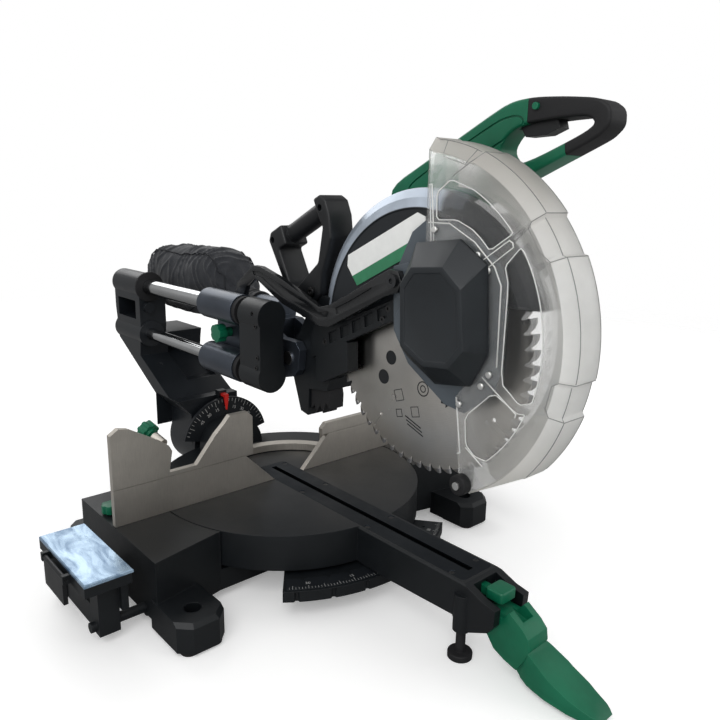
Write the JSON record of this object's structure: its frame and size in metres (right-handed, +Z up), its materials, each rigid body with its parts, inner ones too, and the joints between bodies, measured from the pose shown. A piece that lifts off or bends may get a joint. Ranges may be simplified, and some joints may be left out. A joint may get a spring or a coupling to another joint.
{
  "type": "sliding mitre saw",
  "caption": "Sliding compound mitre saw with clear blade guard, twin rails, turntable, split fence, side extensions and dust bag",
  "frame": {"origin": "mitre axis on the line of the fence face, at the bench under the rubber feet", "axes": "+X to the operator's right, +Y away from the operator along the rails, +Z up"},
  "size_m": [0.704, 0.969, 0.596],
  "materials": {
    "cast_black": "satin",
    "fence_metal": "satin",
    "scale_plate": "satin",
    "arm_paint": "satin",
    "carriage_paint": "satin",
    "machined": "brushed",
    "steel": "machined",
    "chrome": "polished",
    "blade_steel": "ground",
    "guard_paint": "satin",
    "black_plastic": "moulded",
    "green_plastic": "moulded",
    "rubber": "moulded",
    "clear_plastic": "frosted",
    "label": "printed",
    "red_plastic": "gloss",
    "bag_fabric": "woven",
    "motor_mix": "moulded"
  },
  "bodies": {
    "base": {"base_casting": "cast_black", "rubber_feet": "rubber", "mitre_scale": "scale_plate", "fence_fixed": "fence_metal", "fence_bolts": "steel"},
    "turntable": {"turntable": "cast_black", "kerf_plate": "black_plastic", "kerf_screws": "steel", "bevel_scale": "scale_plate"},
    "levelling_foot": {"levelling_foot": "black_plastic"},
    "mitre_lock_handle": {"mitre_lock_handle": "green_plastic"},
    "detent_button": {"detent_button": "green_plastic"},
    "fence_left": {"fence_left": "fence_metal"},
    "fence_right": {"fence_right": "fence_metal"},
    "fence_knob_left": {"fence_knob_left": "green_plastic"},
    "fence_knob_right": {"fence_knob_right": "green_plastic"},
    "extension_left": {"extension_left": "black_plastic", "extension_plate_left": "machined"},
    "extension_right": {"extension_right": "black_plastic", "extension_plate_right": "machined"},
    "flip_stop_left": {"flip_stop_left": "black_plastic"},
    "flip_stop_right": {"flip_stop_right": "black_plastic"},
    "extension_knob_left": {"extension_knob_left": "green_plastic"},
    "extension_knob_right": {"extension_knob_right": "green_plastic"},
    "bevel_arm": {"bevel_arm": "arm_paint", "bevel_pointer": "red_plastic", "rail_upper": "chrome", "rail_lower": "chrome", "rail_end_bracket": "carriage_paint", "rail_bumpers": "rubber", "set_screws": "steel"},
    "bevel_lock_lever": {"bevel_lock_lever": "black_plastic"},
    "carriage": {"carriage": "carriage_paint", "chop_pin": "steel", "dust_bag": "bag_fabric"},
    "slide_lock_knob": {"slide_lock_knob": "green_plastic"},
    "head_lock_pin": {"head_lock_pin": "steel"},
    "head": {"head_casting": "cast_black", "upper_guard": "guard_paint", "label_plate": "label", "transport_handle": "black_plastic", "main_handle": "green_plastic", "handle_grip": "rubber", "belt_cover": "black_plastic", "drive_belt": "rubber", "motor_housing": "motor_mix", "chip_deflector": "rubber", "head_screws": "steel"},
    "trigger": {"trigger": "black_plastic"},
    "lock_off_button": {"lock_off_button": "black_plastic"},
    "spindle_lock": {"spindle_lock": "black_plastic"},
    "motor_rotor": {"motor_rotor": "steel"},
    "blade": {"blade": "blade_steel", "arbor": "steel"},
    "lower_guard": {"lower_guard": "clear_plastic", "guard_hub": "steel", "hub_cover": "black_plastic", "guard_rivets": "steel"},
    "guard_roller": {"guard_roller": "rubber"},
    "guard_link": {"guard_link": "black_plastic"}
  },
  "joints": [
    {"name": "mitre", "type": "hinge", "parent": "base", "child": "turntable", "pos_m": [0, 0, 0.06], "axis": [0, 0, 1], "range_deg": [-47, 47]},
    {"name": "levelling", "type": "slide", "parent": "turntable", "child": "levelling_foot", "axis": [0, 0, 1], "range_m": [0, 0.015]},
    {"name": "mitre_lock", "type": "hinge", "parent": "turntable", "child": "mitre_lock_handle", "pos_m": [0, -0.385, 0.055], "axis": [-1, 0, 0], "range_deg": [0, 15]},
    {"name": "detent_press", "type": "slide", "parent": "turntable", "child": "detent_button", "axis": [0, 0, -1], "range_m": [0, 0.006], "stiffness_N_per_m": 900},
    {"name": "fence_slide_left", "type": "slide", "parent": "base", "child": "fence_left", "axis": [1, 0, 0], "range_m": [-0.07, 0]},
    {"name": "fence_slide_right", "type": "slide", "parent": "base", "child": "fence_right", "axis": [-1, 0, 0], "range_m": [-0.07, 0]},
    {"name": "fence_lock_left", "type": "hinge", "parent": "fence_left", "child": "fence_knob_left", "pos_m": [-0.1933, 0.01, 0.1847], "axis": [-0.2085, 0.9186, 0.3357], "range_deg": [-180, 180]},
    {"name": "fence_lock_right", "type": "hinge", "parent": "fence_right", "child": "fence_knob_right", "pos_m": [0.1933, 0.01, 0.1667], "axis": [0.2085, 0.9186, 0.3357], "range_deg": [-180, 180]},
    {"name": "extension_slide_left", "type": "slide", "parent": "base", "child": "extension_left", "axis": [-1, 0, 0], "range_m": [0, 0.09]},
    {"name": "extension_slide_right", "type": "slide", "parent": "base", "child": "extension_right", "axis": [-1, 0, 0], "range_m": [-0.09, 0]},
    {"name": "flip_stop_hinge_left", "type": "hinge", "parent": "extension_left", "child": "flip_stop_left", "pos_m": [-0.3485, -0.03, 0.083], "axis": [0, 1, 0], "range_deg": [0, 180]},
    {"name": "flip_stop_hinge_right", "type": "hinge", "parent": "extension_right", "child": "flip_stop_right", "pos_m": [0.3485, -0.03, 0.083], "axis": [0, -1, 0], "range_deg": [0, 180]},
    {"name": "extension_lock_left", "type": "hinge", "parent": "base", "child": "extension_knob_left", "pos_m": [-0.252, 0.044, 0.095], "axis": [0, 0, 1], "range_deg": [-180, 180]},
    {"name": "extension_lock_right", "type": "hinge", "parent": "base", "child": "extension_knob_right", "pos_m": [0.252, 0.044, 0.095], "axis": [0, 0, 1], "range_deg": [-180, 180]},
    {"name": "bevel", "type": "hinge", "parent": "turntable", "child": "bevel_arm", "pos_m": [0, 0.227, 0.092], "axis": [0, 1, 0], "range_deg": [-45, 45]},
    {"name": "bevel_lock", "type": "hinge", "parent": "turntable", "child": "bevel_lock_lever", "pos_m": [0, 0.282, 0.092], "axis": [0, -1, 0], "range_deg": [0, 18]},
    {"name": "rail_slide", "type": "slide", "parent": "bevel_arm", "child": "carriage", "axis": [0, -1, 0], "range_m": [-0.195, 0]},
    {"name": "slide_lock", "type": "hinge", "parent": "carriage", "child": "slide_lock_knob", "pos_m": [-0.056, 0.072, 0.303], "axis": [-1, 0, 0], "range_deg": [-180, 180]},
    {"name": "head_lock", "type": "slide", "parent": "carriage", "child": "head_lock_pin", "axis": [1, 0, 0], "range_m": [0, 0.006]},
    {"name": "chop", "type": "hinge", "parent": "carriage", "child": "head", "pos_m": [0, -0.04, 0.282], "axis": [1, 0, 0], "range_deg": [-25, 26]},
    {"name": "trigger_press", "type": "slide", "parent": "head", "child": "trigger", "axis": [0, 0, 1], "range_m": [0, 0.005], "stiffness_N_per_m": 900, "springref_m": -0.002},
    {"name": "lock_off_press", "type": "slide", "parent": "head", "child": "lock_off_button", "axis": [1, 0, 0], "range_m": [0, 0.0025], "stiffness_N_per_m": 700},
    {"name": "spindle_lock_press", "type": "slide", "parent": "head", "child": "spindle_lock", "axis": [-1, 0, 0], "range_m": [0, 0.004], "stiffness_N_per_m": 900},
    {"name": "blade_spin", "type": "hinge", "parent": "head", "child": "blade", "pos_m": [0, -0.262, 0.34], "axis": [1, 0, 0], "continuous": true},
    {"name": "rotor_spin", "type": "hinge", "parent": "head", "child": "motor_rotor", "pos_m": [0.1, -0.255, 0.43], "axis": [1, 0, 0], "continuous": true},
    {"name": "guard_open", "type": "hinge", "parent": "head", "child": "lower_guard", "pos_m": [0, -0.27, 0.36], "axis": [1, 0, 0], "range_deg": [-47.78, 45.95]},
    {"name": "guard_link_swing", "type": "hinge", "parent": "lower_guard", "child": "guard_link", "pos_m": [-0.035, -0.248, 0.409], "axis": [1, 0, 0], "range_deg": [-40.7, 42.32]},
    {"name": "guard_roller_spin", "type": "hinge", "parent": "lower_guard", "child": "guard_roller", "pos_m": [-0.035, -0.352, 0.206], "axis": [1, 0, 0], "continuous": true}
  ],
  "couplings": [
    {"joint": "guard_open", "follows": "chop", "ratio": -1.83},
    {"joint": "guard_link_swing", "follows": "chop", "ratio": 1.62},
    {"joint": "rotor_spin", "follows": "blade_spin", "ratio": 2.2857}
  ]
}
